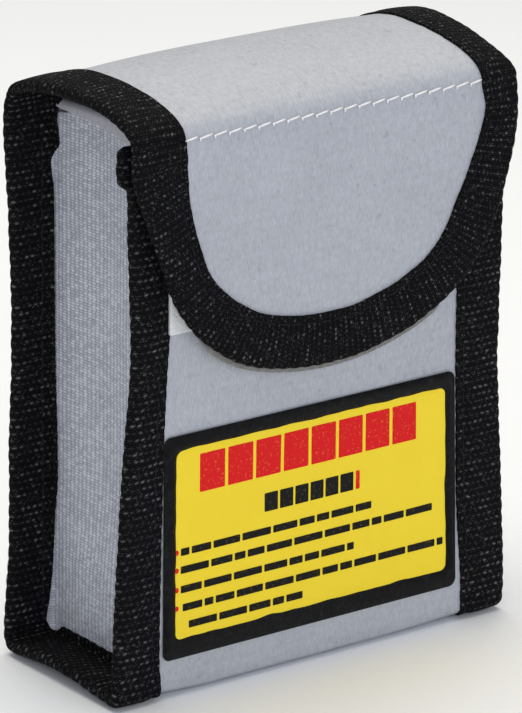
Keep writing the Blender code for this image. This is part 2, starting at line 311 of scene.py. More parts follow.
# The flap's outline below the fold: across in millimetres, share of the drop, tape width in millimetres
FLAP_OUTLINE = (
    (-46.4, 0.000, 11.4),
    (-46.1, 0.110, 11.7),
    (-44.5, 0.222, 10.6),
    (-42.2, 0.335, 9.1),
    (-39.7, 0.470, 8.5),
    (-36.9, 0.614, 8.7),
    (-32.6, 0.747, 9.5),
    (-26.9, 0.851, 10.0),
    (-19.6, 0.936, 10.4),
    (-10.0, 0.985, 10.5),
    (1.0, 1.000, 10.5),
    (11.6, 0.975, 10.5),
    (21.7, 0.912, 10.6),
    (30.5, 0.814, 10.7),
    (36.6, 0.687, 11.0),
    (40.7, 0.533, 11.1),
    (43.2, 0.375, 10.1),
    (44.7, 0.250, 9.3),
    (45.4, 0.110, 8.4),
    (45.4, 0.000, 9.4),
)


def flap_outline(count=260):
    """(x, z, tape width) round the hanging flap, from the left end of the fold to the right."""
    rows = [(float(i), x * MM, FOLD_Z - drop * (FOLD_Z - TIP_Z), width * MM)
            for i, (x, drop, width) in enumerate(FLAP_OUTLINE)]
    return [through(rows, t) for t in steps(0.0, len(rows) - 1.0, count)]


def inward_of(points, i):
    """Unit (x, z) towards the inside of an outline that runs anticlockwise."""
    a = points[max(i - 1, 0)]
    b = points[min(i + 1, len(points) - 1)]
    length = math.hypot(b[0] - a[0], b[1] - a[1])
    return -(b[1] - a[1]) / length, (b[0] - a[0]) / length


def inset_sides(edge):
    """The flap's outline inset by edge, as a left and a right line of (z, x) from the fold down."""
    outline = flap_outline()
    inset = []
    for i, (x, z, _) in enumerate(outline):
        nx, nz = inward_of(outline, i)
        inset.append((z + edge * nz, x + edge * nx))
    tip = min(range(len(inset)), key=lambda i: inset[i][0])
    return inset[:tip + 1], inset[tip:][::-1]


def crossing(side_line, z):
    """x where a side of the flap's outline crosses the height z."""
    if z >= side_line[0][0]:
        return side_line[0][1]
    for (z0, x0), (z1, x1) in zip(side_line, side_line[1:]):
        if z1 <= z <= z0:
            return x0 + (x1 - x0) * (z0 - z) / max(z0 - z1, 1e-9)
    return side_line[-1][1]


# How far the outermost edge of the flap's top rolls down, left and right, in millimetres
EDGE_ROLL_WIDTH = 9.0 * MM
EDGE_ROLL = [(s, left * MM, right * MM) for s, left, right in (
    (S_HINGE, 0.0, 0.0),
    (S_HINGE + 6.0 * MM, 0.3, 0.2),
    (S_HINGE + 14.0 * MM, 0.9, 0.5),
    (S_CROWN, 0.8, 0.8),
    (S_CROWN + 9.0 * MM, 0.3, 1.2),
    (S_CROWN + 17.0 * MM, 0.1, 1.7),
    (S_FOLD - 4.0 * MM, 0.0, 1.6),
    (S_FOLD + 1.0 * MM, 0.0, 0.8),
    (S_FOLD + 9.0 * MM, 0.0, 0.0),
)]


def edge_roll(s, x):
    """Extra depth near a side edge of the flap's top, where it rolls over the pouch's side."""
    side = -1 if x < 0 else 1
    nearness = 1.0 - (half_width(s, side) - abs(x)) / EDGE_ROLL_WIDTH
    return of_side(through(EDGE_ROLL, s), side) * min(max(nearness, 0.0), 1.0) ** 1.6


def crown_swell(s, x):
    """The cloth of the flap's top stands a little higher between its tapes."""
    if not S_HINGE < s < S_FOLD:
        return 0.0
    along = smoothstep((s - S_HINGE) / (10.0 * MM)) * (1.0 - smoothstep((s - S_CROWN) / (S_FOLD - S_CROWN)))
    return 1.0 * MM * along * max(1.0 - abs(x / (37.0 * MM)) ** 2.5, 0.0)


def base_lift(s, x):
    """The bound edges under the sides arch up a little between the pouch's corners."""
    if not S_FRONT_LOW - 4 * MM < s < S_BACK_LOW:
        return 0.0
    along = (s - S_FRONT_LOW) / (S_BACK_LOW - S_FRONT_LOW)
    outward = smoothstep((abs(x) - FRONT_TAPE_EDGE) / (HALF_WIDTH - FRONT_TAPE_EDGE))
    return 1.7 * MM * math.sin(math.pi * min(max(along, 0.0), 1.0)) ** 1.5 * outward


def on_line(s, x, depth):
    """The point of the pouch's skin at s and x, at a depth below its outer face."""
    y, z = LINE.at(s, depth + edge_roll(s, x))
    return Vector((x, y, z + base_lift(s, x) + crown_swell(s, x)))


# ---------------------------------------------------------------- meshes
def mesh_object(name, mesh):
    """An object of the scene that holds the mesh."""
    obj = bpy.data.objects.new(name, mesh)
    bpy.context.scene.collection.objects.link(obj)
    return obj


def grid(name, rows, uvs, weld=0.0):
    """An open sheet of quads, with its own measured cloth coordinates."""
    bm = bmesh.new()
    layer = bm.loops.layers.uv.new(UV_NAME)
    verts = [[bm.verts.new(point) for point in row] for row in rows]
    for i in range(len(rows) - 1):
        for j in range(len(rows[i]) - 1):
            corners = ((i, j), (i, j + 1), (i + 1, j + 1), (i + 1, j))
            face = bm.faces.new([verts[a][b] for a, b in corners])
            face.smooth = True
            for loop, (a, b) in zip(face.loops, corners):
                loop[layer].uv = uvs[a][b]
    if weld:
        bmesh.ops.remove_doubles(bm, verts=bm.verts, dist=weld)
    mesh = bpy.data.meshes.new(name)
    bm.to_mesh(mesh)
    bm.free()
    return mesh_object(name, mesh)


def applied(obj):
    """The object with its modifiers applied to its mesh."""
    bpy.context.view_layer.update()
    final = bpy.data.meshes.new_from_object(obj.evaluated_get(bpy.context.evaluated_depsgraph_get()))
    old = obj.data
    obj.modifiers.clear()
    obj.data = final
    bpy.data.meshes.remove(old)
    return obj


def thick(obj, thickness):
    """Gives a sheet its thickness about its middle and rounds its cut edges."""
    shell = obj.modifiers.new("thickness", "SOLIDIFY")
    shell.thickness = thickness
    shell.offset = 0.0
    bevel = obj.modifiers.new("rounding", "BEVEL")
    bevel.width = thickness * 0.3
    bevel.segments = 2
    bevel.limit_method = "ANGLE"
    bevel.angle_limit = math.radians(50)
    applied(obj)
    for face in obj.data.polygons:
        face.use_smooth = True
    return obj


def solid_from(name, bm):
    """A smooth object made of closed pieces."""
    bmesh.ops.recalc_face_normals(bm, faces=bm.faces)
    mesh = bpy.data.meshes.new(name)
    bm.to_mesh(mesh)
    bm.free()
    for face in mesh.polygons:
        face.use_smooth = True
    return mesh_object(name, mesh)


def dress(obj, material, body, slot, *nodes):
    """Material, slot (not used), the body it moves with and the CAD nodes it stands for."""
    obj.data.materials.clear()
    obj.data.materials.append(material)
    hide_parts(*nodes)
    if body:
        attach(obj, body)
    return obj


# ---------------------------------------------------------------- materials
class Graph:
    """Short ways to add nodes to a material."""

    def __init__(self, name, colour, roughness, specular=0.5, sheen=0.0):
        self.material = bpy.data.materials.new(name)
        self.material.use_nodes = True
        self.tree = self.material.node_tree
        self.shader = self.tree.nodes["Principled BSDF"]
        self.shader.inputs["Base Color"].default_value = (*colour, 1.0)
        self.shader.inputs["Roughness"].default_value = roughness
        self.shader.inputs["Specular IOR Level"].default_value = specular
        self.shader.inputs["Sheen Weight"].default_value = sheen
        self.shader.inputs["Sheen Roughness"].default_value = 0.4

    def put(self, socket, value):
        """Links or sets a socket."""
        if isinstance(value, bpy.types.NodeSocket):
            self.tree.links.new(value, socket)
        else:
            socket.default_value = value

    def math(self, operation, a, b=0.0):
        """One step of arithmetic."""
        node = self.tree.nodes.new("ShaderNodeMath")
        node.operation = operation
        for socket, value in zip(node.inputs, (a, b)):
            self.put(socket, value)
        return node.outputs[0]

    def plus(self, a, b):
        return self.math("ADD", a, b)

    def minus(self, a, b):
        return self.math("SUBTRACT", a, b)

    def times(self, a, b):
        return self.math("MULTIPLY", a, b)

    def power(self, a, b):
        return self.math("POWER", a, b)

    def arches(self, turns):
        """Rises from 0 to 1 and falls back, once for each whole turn."""
        return self.math("ABSOLUTE", self.math("SINE", self.times(turns, math.pi)))

    def mix(self, share, a, b):
        """A colour between two, by share."""
        node = self.tree.nodes.new("ShaderNodeMix")
        node.data_type = "RGBA"
        self.put(node.inputs["Factor"], share)
        for key, value in (("A", a), ("B", b)):
            socket = next(s for s in node.inputs if s.name == key and s.type == "RGBA")
            self.put(socket, (*value, 1.0) if isinstance(value, tuple) else value)
        return next(s for s in node.outputs if s.type == "RGBA")

    def noise(self, scale, detail=2.0, vector=None):
        """Even noise through the object's own space."""
        node = self.tree.nodes.new("ShaderNodeTexNoise")
        node.inputs["Scale"].default_value = scale
        node.inputs["Detail"].default_value = detail
        self.put(node.inputs["Vector"], vector or self.position())
        return node.outputs["Fac"]

    def position(self):
        """The object's own coordinates, in metres."""
        return self.tree.nodes.new("ShaderNodeTexCoord").outputs["Object"]

    def cloth_uv(self):
        """Distances across and along the cloth, in metres."""
        uv = self.tree.nodes.new("ShaderNodeUVMap")
        uv.uv_map = UV_NAME
        parts = self.tree.nodes.new("ShaderNodeSeparateXYZ")
        self.tree.links.new(uv.outputs["UV"], parts.inputs[0])
        return parts.outputs[0], parts.outputs[1]

    def bricks(self, across, along, wander, stagger=0.5):
        """Threads laid like bricks: the height over a cell's width and length, and its random number."""
        u, v = self.cloth_uv()
        u = self.plus(u, self.times(self.noise(140.0), wander))
        v = self.plus(v, self.times(self.noise(170.0), wander))
        row = self.times(v, 1.0 / along)
        row_number = self.math("FLOOR", row)
        shift = self.times(self.math("MODULO", row_number, 2.0), stagger)
        place = self.plus(self.times(u, 1.0 / across), shift)
        cell = self.tree.nodes.new("ShaderNodeCombineXYZ")
        self.tree.links.new(self.math("FLOOR", place), cell.inputs[0])
        self.tree.links.new(row_number, cell.inputs[1])
        chance = self.tree.nodes.new("ShaderNodeTexWhiteNoise")
        chance.noise_dimensions = "2D"
        self.tree.links.new(cell.outputs[0], chance.inputs["Vector"])
        return self.arches(place), self.arches(row), chance.outputs["Value"]

    def bump(self, height, distance, strength=1.0, below=None):
        """A normal bent by a height, on top of the one below."""
        node = self.tree.nodes.new("ShaderNodeBump")
        node.inputs["Strength"].default_value = strength
        node.inputs["Distance"].default_value = distance
        self.put(node.inputs["Height"], height)
        if below is not None:
            self.put(node.inputs["Normal"], below)
        return node.outputs["Normal"]

    def finish(self, colour=None, roughness=None, normal=None):
        """Links what was worked out to the shader."""
        for key, value in (("Base Color", colour), ("Roughness", roughness), ("Normal", normal)):
            if value is not None:
                self.put(self.shader.inputs[key], value)
        return self.material


def coated_cloth(name, low, high, cell=(0.80 * MM, 2.1 * MM), weave=0.3, mottle=0.6, depth=0.06 * MM):
    """Coated glass-fibre cloth: a weave of short raised threads half hidden by the coating, and mottled.
    cell is one thread's size; weave sets its painted highlight, shade and random tone; mottle the mottling."""
    g = Graph(name, high, 0.5, specular=0.4, sheen=0.05)
    u, v = g.cloth_uv()
    across, along = cell
    ends, ridge, chance = g.bricks(across, along, 0.5 * MM, stagger=0.5 if along > across else 0.12)
    height = g.times(g.power(ridge, 0.45), g.power(ends, 0.6))
    # painted highlight on the threads' crowns and painted shade between them
    painted_thread_light = g.times(g.minus(height, 0.66), weave)
    random_tone = g.times(g.minus(chance, 0.5), 0.5 * weave)
    stretched = g.tree.nodes.new("ShaderNodeCombineXYZ")
    g.tree.links.new(u, stretched.inputs[0])
    g.tree.links.new(g.times(v, 0.45), stretched.inputs[1])
    fine = g.noise(2100.0, 2.0, stretched.outputs[0])
    blotch = g.noise(850.0, 2.0, stretched.outputs[0])
    blotch = g.plus(g.times(fine, 0.6), g.times(blotch, 0.4))
    marks = g.times(g.minus(blotch, 0.5), mottle)
    patchy = g.times(g.minus(g.noise(50.0, 4.0), 0.5), 0.5)
    speck = g.times(g.math("GREATER_THAN", g.noise(420.0, 1.0), 0.72), 0.35)
    share = g.plus(g.plus(painted_thread_light, random_tone), g.plus(patchy, marks))
    share = g.minus(g.plus(share, 0.5), speck)
    share = g.math("MINIMUM", g.math("MAXIMUM", share, 0.0), 1.0)
    rough = g.plus(0.48, g.times(g.minus(1.0, height), 0.2))
    soft = g.bump(blotch, 0.10 * MM, 0.6, below=g.bump(g.noise(260.0, 3.0), 0.2 * MM, 0.5))
    normal = g.bump(height, depth, 0.7, below=soft)
    return g.finish(g.mix(share, low, high), rough, normal)


def binding_tape(name, dash_length, dim, rarity):
    """Black woven tape: bricks of filament over a fine ground, with painted glints on a few bricks and
    specks.
    dim is the painted brightness of the dullest brick and rarity says how few are painted bright."""
    g = Graph(name, (0.008, 0.008, 0.009), 0.5, specular=0.05)
    ends, ridge, chance = g.bricks(dash_length, TAPE_ROW, 0.35 * MM)
    dash = g.times(g.power(ridge, 9.0), g.power(ends, 2.5))
    fine_ends, fine_ridge, fine_chance = g.bricks(0.62 * MM, TAPE_ROW / 3, 0.3 * MM)
    fine = g.times(fine_ridge, fine_ends)
    # painted glints: a few bricks and specks are painted bright in the base colour as highlights
    painted_brightness = g.plus(dim, g.times(g.power(chance, rarity), 1.0 - dim))
    patchy = g.plus(0.35, g.times(g.noise(140.0, 2.0), 1.3))
    painted_glint = g.times(g.times(dash, painted_brightness), patchy)
    painted_spark = g.times(g.power(fine, 2.0), g.power(fine_chance, 8.0))
    share = g.plus(painted_glint, g.times(painted_spark, 0.4))
    share = g.plus(share, g.times(fine, 0.045))
    share = g.math("MINIMUM", share, 1.0)
    rough = g.minus(0.75, g.times(dash, 0.3))
    height = g.plus(g.times(dash, 0.6), g.times(fine, 0.4))
    normal = g.bump(height, 0.22 * MM, 1.0)
    # the pale colour of the mix is the painted glint colour
    return g.finish(g.mix(share, (0.0013, 0.0014, 0.0021), (0.155, 0.155, 0.160)), rough, normal)


def thread_material(name, colour, pale, specular):
    """Twisted sewing thread."""
    g = Graph(name, colour, 0.5, specular=specular)
    strands = g.noise(2200.0, 2.0)
    return g.finish(g.mix(strands, colour, pale), None, g.bump(strands, 0.08 * MM, 0.8))


def satin_border():
    """Embroidered edge: packed threads that run across the border."""
    g = Graph("satin_stitch", (0.012, 0.012, 0.014), 0.45, specular=0.12)
    along = g.cloth_uv()[1]
    wander = g.times(g.noise(500.0), 0.5 * MM)
    turns = g.times(g.plus(along, wander), math.pi / (0.42 * MM))
    ridge = g.math("ABSOLUTE", g.math("SINE", turns))
    lint = g.power(g.noise(900.0, 2.0), 5.0)
    share = g.plus(g.times(g.power(ridge, 2.0), 0.25), g.times(lint, 2.2))
    shade = g.mix(g.math("MINIMUM", share, 1.0), (0.0016, 0.0016, 0.0020), (0.026, 0.027, 0.029))
    return g.finish(shade, 0.5, g.bump(ridge, 0.16 * MM, 0.9))


def label_cloth():
    """Yellow label: a tight satin cloth with a faint twill."""
    g = Graph("label_satin", (0.80, 0.62, 0.05), 0.6, specular=0.2)
    u, v = g.cloth_uv()
    twill = g.math("ABSOLUTE", g.math("SINE", g.times(g.plus(u, v), math.pi / (0.36 * MM))))
    patchy = g.noise(120.0, 3.0)
    share = g.plus(g.times(twill, 0.3), g.times(patchy, 0.6))
    colour = g.mix(share, (0.92, 0.675, 0.027), (0.99, 0.78, 0.044))
    return g.finish(colour, 0.6, g.bump(twill, 0.05 * MM, 0.6, below=g.bump(patchy, 0.3 * MM, 0.4)))


def print_ink(name, colour, worn):
    """Screen-printed ink with a slightly broken surface."""
    g = Graph(name, colour, 0.6, specular=0.15)
    speck = g.noise(1800.0, 3.0)
    share = g.times(g.math("GREATER_THAN", speck, 0.62), 0.6)
    return g.finish(g.mix(share, colour, worn), None, g.bump(speck, 0.03 * MM, 0.6))


def fuzzy(name, low, high, grain):
    """Napped hook-and-loop surface; also the grey strip past the flap's tape."""
    g = Graph(name, high, 0.9, specular=0.1, sheen=0.1)
    loops = g.noise(grain, 4.0)
    coarse = g.noise(grain / 4.0, 2.0)
    share = g.plus(g.times(loops, 0.8), g.times(coarse, 0.25))
    return g.finish(g.mix(share, low, high), None, g.bump(loops, 0.45 * MM, 1.0))


def floor_material():
    """Plain pale studio floor."""
    g = Graph("pale_floor", (0.83, 0.86, 0.90), 0.7, specular=0.1)
    speck = g.noise(14.0, 2.0)
    return g.finish(g.mix(speck, (0.92, 0.94, 0.97), (0.94, 0.96, 0.99)))


SILVER = coated_cloth("silver_cloth_weave", (0.335, 0.353, 0.398), (0.51, 0.534, 0.590),
                      weave=0.10, mottle=1.7)
# the gusset is the silver cloth painted lighter, to make up for the less light on its side, with strong
# painted thread glints
PAINTED_LIGHT_GUSSET_CLOTH = coated_cloth("gusset_cloth_weave_painted_light", (0.34, 0.36, 0.415), (0.70, 0.725, 0.80),
                            (1.18 * MM, 0.56 * MM), weave=1.15, mottle=0.5, depth=0.14 * MM)
# the hem is the silver cloth painted darker: painted shade under the flap
PAINTED_SHADE_HEM_CLOTH = coated_cloth("gusset_hem_weave_painted_shade", (0.37, 0.365, 0.41), (0.55, 0.545, 0.60), mottle=0.9)
LINING_CLOTH = coated_cloth("lining_weave", (0.50, 0.51, 0.53), (0.70, 0.71, 0.73), weave=0.7)
# both tapes carry painted glints; the flap's are smaller and sparser
BLACK_TAPE = binding_tape("black_tape_weave_painted_glints", 1.35 * MM, 0.10, 3.0)
FLAP_TAPE = binding_tape("flap_tape_weave_painted_glints", 0.95 * MM, 0.07, 5.0)
BLACK_THREAD = thread_material("black_thread_twist", (0.004, 0.004, 0.005), (0.016, 0.016, 0.018), 0.1)
WHITE_THREAD = thread_material("white_thread_twist", (0.72, 0.73, 0.76), (0.92, 0.92, 0.94), 0.4)
SATIN = satin_border()
YELLOW = label_cloth()
RED_INK = print_ink("red_ink", (0.72, 0.010, 0.013), (0.85, 0.20, 0.03))
BLACK_INK = print_ink("black_ink", (0.006, 0.006, 0.006), (0.12, 0.09, 0.01))
LOOP_NAP = fuzzy("loop_nap", (0.66, 0.68, 0.70), (0.93, 0.94, 0.95), 2400.0)
HOOK_BASE = fuzzy("hook_base", (0.34, 0.35, 0.37), (0.62, 0.63, 0.65), 3200.0)
GREY_EDGE_STRIP = fuzzy("grey_edge_strip", (0.09, 0.09, 0.088), (0.33, 0.33, 0.32), 1600.0)


# ---------------------------------------------------------------- cloth panels
def cloth_relief(s, x, edge, amount):
    """Slight unevenness, and puckers that fade away from a sewn edge at half width edge."""
    y, z = LINE.at(s)
    wave = soft_noise(x, y, z, 16.0 * MM, 3.1) + 0.5 * soft_noise(x, y, z, 7.0 * MM, 8.4)
    nearness = math.exp(-max(edge - abs(x), 0.0) / (3.5 * MM))
    pucker = soft_noise(0.0, s, 0.0, 2.6 * MM, 5.0 if x > 0 else 6.5) * nearness
    return amount * (0.7 * wave + 0.9 * pucker)


def base_sag(s, x):
    """The base cloth rests on the ground between its bound sides."""
    if not S_FRONT_LOW < s < S_BACK_LOW:
        return 0.0
    middle = 1.0 - smoothstep((abs(x) - 24.0 * MM) / (14.0 * MM))
    return 0.6 * MM * middle


def panel(name, s_values, span, depth, columns, relief, sag=True):
    """A sheet that follows the line at a depth; span(s) is its left and right end."""
    rows = []
    uvs = []
    for s in s_values:
        left, right = span(s)
        row = []
        for share in steps(0.0, 1.0, columns):
            x = left + (right - left) * share
            edge = min(-left if x < 0 else right, FRONT_TAPE_EDGE)
            point = on_line(s, x, depth - cloth_relief(s, x, edge, relief))
            if sag:
                point.z -= base_sag(s, x)
            row.append(point)
        rows.append(row)
        uvs.append([(point.x, s) for point in row])
    return grid(name, rows, uvs)


def flap_span(edge):
    """Left and right end of the flap's cloth, edge inside the tape's outer edge."""
    left_side, right_side = inset_sides(edge)

    def span(s):
        """The two ends at s."""
        if s <= S_FOLD:
            return edge - half_width(s, -1), half_width(s, 1) - edge
        z = FOLD_Z - (s - S_FOLD)
        return crossing(left_side, z), crossing(right_side, z)

    return span


def make_wrap():
    """The pouch's front, base and back: the outer cloth, and the lining between the side panels."""
    edge = CLOTH_INSET
    s_values = steps(MOUTH_INSET, S_START, 150)
    cloth = panel("pouch_cloth", s_values, lambda s: (edge - half_width(s, -1), half_width(s, 1) - edge),
                  CLOTH_MIDDLE, 48, 0.16 * MM)
    thick(cloth, CLOTH)
    dress(cloth, SILVER, None, "silver_cloth", "outer_wrap")
    hinge_blend(cloth)

    half = GUSSET_X - 1.3 * MM
    lining = panel("pouch_lining", steps(MOUTH_INSET, S_HINGE - 0.6 * MM, 120), lambda s: (-half, half),
                   WRAP_LINING_MIDDLE, 20, 0.06 * MM, sag=False)
    thick(lining, LINING)
    dress(lining, LINING_CLOTH, "pouch", "lining_cloth", "wrap_lining")


def hinge_blend(piece):
    """Bakes a piece's transform into its mesh; it does not bend it."""
    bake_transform(piece)


def fold_blend(piece):
    """Bakes a piece's transform into its mesh; it does not bend it."""
    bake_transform(piece)


def make_flap_cloth():
    """The flap's cloth and lining, each one sheet from the back hinge over the fold to the tip."""
    edge = CLOTH_INSET
    span = flap_span(edge)
    last = S_FOLD + FOLD_Z - TIP_Z - edge - 0.25 * MM
    s_values = steps(S_START, S_FOLD, 36) + steps(S_FOLD, last, 56)[1:]
    for name, depth, thickness, material, slot_name, nodes, relief in (
        ("flap_cloth", CLOTH_MIDDLE, CLOTH, SILVER, "silver_cloth",
         ("flap_top_panel", "flap_front_panel"), 0.15 * MM),
        ("flap_lining", FLAP_LINING_MIDDLE, LINING, LINING_CLOTH, "lining_cloth",
         ("flap_top_lining", "flap_front_lining"), 0.04 * MM),
    ):
        piece = panel(name, s_values, span, depth, 46, relief)
        thick(piece, thickness)
        dress(piece, material, None, slot_name, *nodes)
        fold_blend(piece)


def gusset_pinch(share, z):
    """How far the filled pouch's side is drawn in, share of the way from its edge to its middle."""
    return 1.8 * MM * smoothstep((z - 12.0 * MM) / (30.0 * MM)) * math.sin(0.5 * math.pi * share) ** 1.6


def make_gusset(side, word):
    """The recessed side panel: its edges turn out under the tapes and its middle is pinched in."""
    count = 56
    front = steps(MOUTH_INSET, S_FRONT_LOW - 2.0 * MM, count)
    base = steps(S_FRONT_LOW - 2.0 * MM, S_BACK_LOW + 2.0 * MM, 22)[1:-1]
    back = steps(S_HINGE - TUCK, S_BACK_LOW + 2.0 * MM, count)
    spine_low = BASE_Z + 15.0 * MM
    spine = steps(TOP_Z, spine_low, count)
    rails = [(s, z) for s, z in zip(front, spine)]
    rails += [(s, spine_low) for s in base]
    rails += [(s, z) for s, z in zip(reversed(back), reversed(spine))]
    for lining, name, material, thickness in (
        (False, word + "_gusset_cloth", PAINTED_LIGHT_GUSSET_CLOTH, CLOTH),
        (True, word + "_gusset_lining_cloth", LINING_CLOTH, LINING),
    ):
        inset = 1.1 * MM if lining else 0.0
        rows = []
        uvs = []
        for s, spine_z in rails:
            row = []
            if not lining:
                for x in steps(half_width(s, side) - 0.9 * MM, GUSSET_X + CORNER, 5):
                    row.append(on_line(s, x, GUSSET_MIDDLE))
            for angle in steps(0.0, 90.0, 4)[1:]:
                turn = math.radians(angle)
                x = GUSSET_X - CLOTH / 2 - inset + CORNER * (1.0 - math.sin(turn))
                depth = GUSSET_MIDDLE + 1.2 * inset + CORNER * (1.0 - math.cos(turn))
                row.append(on_line(s, x, depth))
            edge = row[-1].copy()
            middle = Vector((edge.x, CENTRE_Y + 1.0 * MM, spine_z - 1.8 * inset))
            for share in steps(0.0, 1.0, 12)[1:]:
                point = edge.lerp(middle, share)
                ripple = soft_noise(point.y, point.z, 0.0, 13.0 * MM, 4.0 + side) * 0.35 * MM
                ripple += soft_noise(0.0, point.z, 0.0, 4.0 * MM, 9.0) * 0.22 * MM * (1.0 - share)
                wrinkle = ripple * math.sin(math.pi * min(share + 0.12, 1.0))
                point.x -= gusset_pinch(share, point.z) + wrinkle
                row.append(point)
            rows.append([Vector((side * p.x, p.y, p.z)) for p in row])
            uvs.append([(p.y, p.z) for p in row])
        piece = grid(name, rows, uvs, weld=0.00002)
        thick(piece, thickness)
        node = word + ("_gusset_lining" if lining else "_gusset")
        dress(piece, material, "pouch", "lining_cloth" if lining else "silver_cloth", node)


def make_hem(side, word):
    """The folded strip over a gusset's top edge."""
    gap = 0.15 * MM
    radius = CLOTH + gap
    centre_x = GUSSET_X - CLOTH / 2
    top = TOP_Z - 0.5 * MM
    low = TOP_Z - 1.9 * MM
    half = (HEM_HIGH.y - HEM_LOW.y) / 2
    back_y = LINE.at(S_HINGE - TUCK)[0] - GUSSET_MIDDLE - 2.1 * MM
    rows = []
    uvs = []
    for y in steps(HEM_LOW.y - 2.5 * MM, back_y, 60):
        share = max(1.0 - abs(y - CENTRE_Y - 1.0 * MM) / (BACK_Y - CENTRE_Y - 2.0 * MM), 0.0)
        middle = centre_x - gusset_pinch(share, top)
        edge = low + 0.10 * (y - CENTRE_Y - half) + 0.2 * MM * soft_noise(y, 0.0, 0.0, 5.0 * MM, 2.0 + side)
        row = [Vector((middle + radius, y, z)) for z in steps(edge, top - radius, 4)]
        for angle in steps(0.0, 180.0, 8)[1:-1]:
            turn = math.radians(angle)
            z = top - radius + radius * math.sin(turn)
            row.append(Vector((middle + radius * math.cos(turn), y, z)))
        row += [Vector((middle - radius, y, z)) for z in steps(top - radius, edge, 4)]
        rows.append([Vector((side * p.x, p.y, p.z)) for p in row])
        uvs.append([(0.6 * MM * i, y) for i in range(len(row))])
    piece = thick(grid(word + "_gusset_hem_fold", rows, uvs), CLOTH)
    # the hem's cloth is painted darker as shade under the flap
    dress(piece, PAINTED_SHADE_HEM_CLOTH, "pouch", "silver_cloth", word + "_gusset_hem")


# ---------------------------------------------------------------- tapes
# Inner edge of the front seam tapes, left and right, and of the back tape's inner leaf, by height
FRONT_INNER_EDGE = [(front_s(height), left * MM, right * MM) for height, left, right in (
    (114, 35.0, 35.0),
    (82, 34.8, 34.8),
    (66, 35.7, 34.9),
    (54, 36.3, 35.1),
    (27, 36.9, 36.0),
    (8, 37.1, 37.6),
    (1, 36.3, 37.4),
)]
BACK_LEAF_EDGE = [(back_s(height), edge * MM) for height, edge in (
    (0, 37.5),
    (3, 38.0),
    (6, 38.9),
    (9, 38.3),
    (14, 37.6),
    (24, 36.9),
    (36, 36.1),
    (62, 36.5),
    (95, 36.8),
    (101.5, 37.5),
    (104.5, 35.7),
    (107, 35.7),
    (109, 36.0),
    (112, 35.9),
    (117, 35.0),
)]


def tape_section(radius, outer_depth, inner_reach, outer_reach, curl_from=1.0):
    """Across a folded tape: (distance in from its edge, depth), from the inner leaf to the outer one.
    Past curl_from the inner leaf turns up and lies along the side panel."""
    section = []
    for d in steps(inner_reach, radius, 8):
        over = max(d - curl_from, 0.0)
        section.append((d - over, outer_depth + 2 * radius + 1.36 * over))
    for angle in steps(90.0, -90.0, 8)[1:-1]:
        turn = math.radians(angle)
        section.append((radius - radius * math.cos(turn), outer_depth + radius + radius * math.sin(turn)))
    for d in steps(radius, outer_reach, 14):
        rise = 0.18 * MM * math.sin(math.pi * min(d / outer_reach, 1.0))
        groove = 0.26 * MM * math.exp(-((outer_reach - STITCH_INSET - d) / (0.8 * MM)) ** 2)
        section.append((d, outer_depth - rise + groove))
    return section


def lengths_along(points):
    """The distance along a line of points, at each of them."""
    total = [0.0]
    for a, b in zip(points, points[1:]):
        total.append(total[-1] + math.dist(a, b))
    return total


def scallop(along, seed):
    """The stitches nip a tape's edge in every two rows of its weave, and the edge wanders slowly."""
    lobe = abs(math.sin(math.pi * along / (2 * TAPE_ROW))) ** 0.7
    return 0.34 * MM * (0.6 - lobe) + 0.2 * MM * soft_noise(along, 0.0, 0.0, 7.0 * MM, seed)


def make_seam_tape(side, word):
    """Tape folded over a side seam, from the front's top round under the base to the back's top."""
    radius = (SEAM_INNER_LEAF - OUTER_LEAF) / 2
    middle = (SEAM_INNER_LEAF + OUTER_LEAF) / 2
    rows = []
    uvs = []
    for s in steps(0.0, S_START, 560):
        edge = half_width(s, side) - scallop(s, 1.0 + side) * 0.8
        front_share = 1.0 - smoothstep((s - S_FRONT_LOW + 4 * MM) / (8.0 * MM))
        front_edge = of_side(through(FRONT_INNER_EDGE, s), side)
        outer_edge = front_edge * front_share + (edge - TAPE_WIDTH) * (1.0 - front_share)
        outer_reach = edge - outer_edge - scallop(s, 4.0 + side) * 0.5
        base_share = smoothstep((s - S_FRONT_LOW) / (4.0 * MM))
        leaf_edge = GUSSET_X + 0.3 * MM - 1.5 * MM * base_share
        if s > S_BACK_LOW - 6.0 * MM:
            back_share = smoothstep((s - S_BACK_LOW + 6.0 * MM) / (6.0 * MM))
            leaf_edge += (through(BACK_LEAF_EDGE, s)[0] - leaf_edge) * back_share
        inner_reach = edge - leaf_edge - scallop(s, 7.0 + side) * 0.4
        depth_out = OUTER_LEAF - 0.08 * MM * soft_noise(s, 0.0, 0.0, 9.0 * MM, 3.0 + side)
        section = tape_section(radius, depth_out, inner_reach, outer_reach, edge - GUSSET_X - 0.35 * MM)
        closing = smoothstep(s / (1.3 * MM)) ** 0.5
        row = []
        for d, depth in section:
            row.append(on_line(s, side * (edge - d - 0.8 * MM * (1.0 - closing) * (d < 2 * radius)),
                               middle + (depth - middle) * max(closing, 0.05)))
        rows.append(row)
        uvs.append([(a, s) for a in lengths_along(section)])
    piece = thick(grid(word + "_seam_tape", rows, uvs), TAPE)
    dress(piece, BLACK_TAPE, None, "black_tape", word + "_seam_binding")
    hinge_blend(piece)


# Tape width over the flap's top, left and right
DOME_TAPE_WIDTHS = [
    (S_START, TAPE_WIDTH, TAPE_WIDTH),
    (S_CROWN, TAPE_WIDTH, 9.9 * MM),
    (S_CROWN + 16.0 * MM, 10.8 * MM, 9.3 * MM),
    (S_FOLD, 11.4 * MM, 9.4 * MM),
]


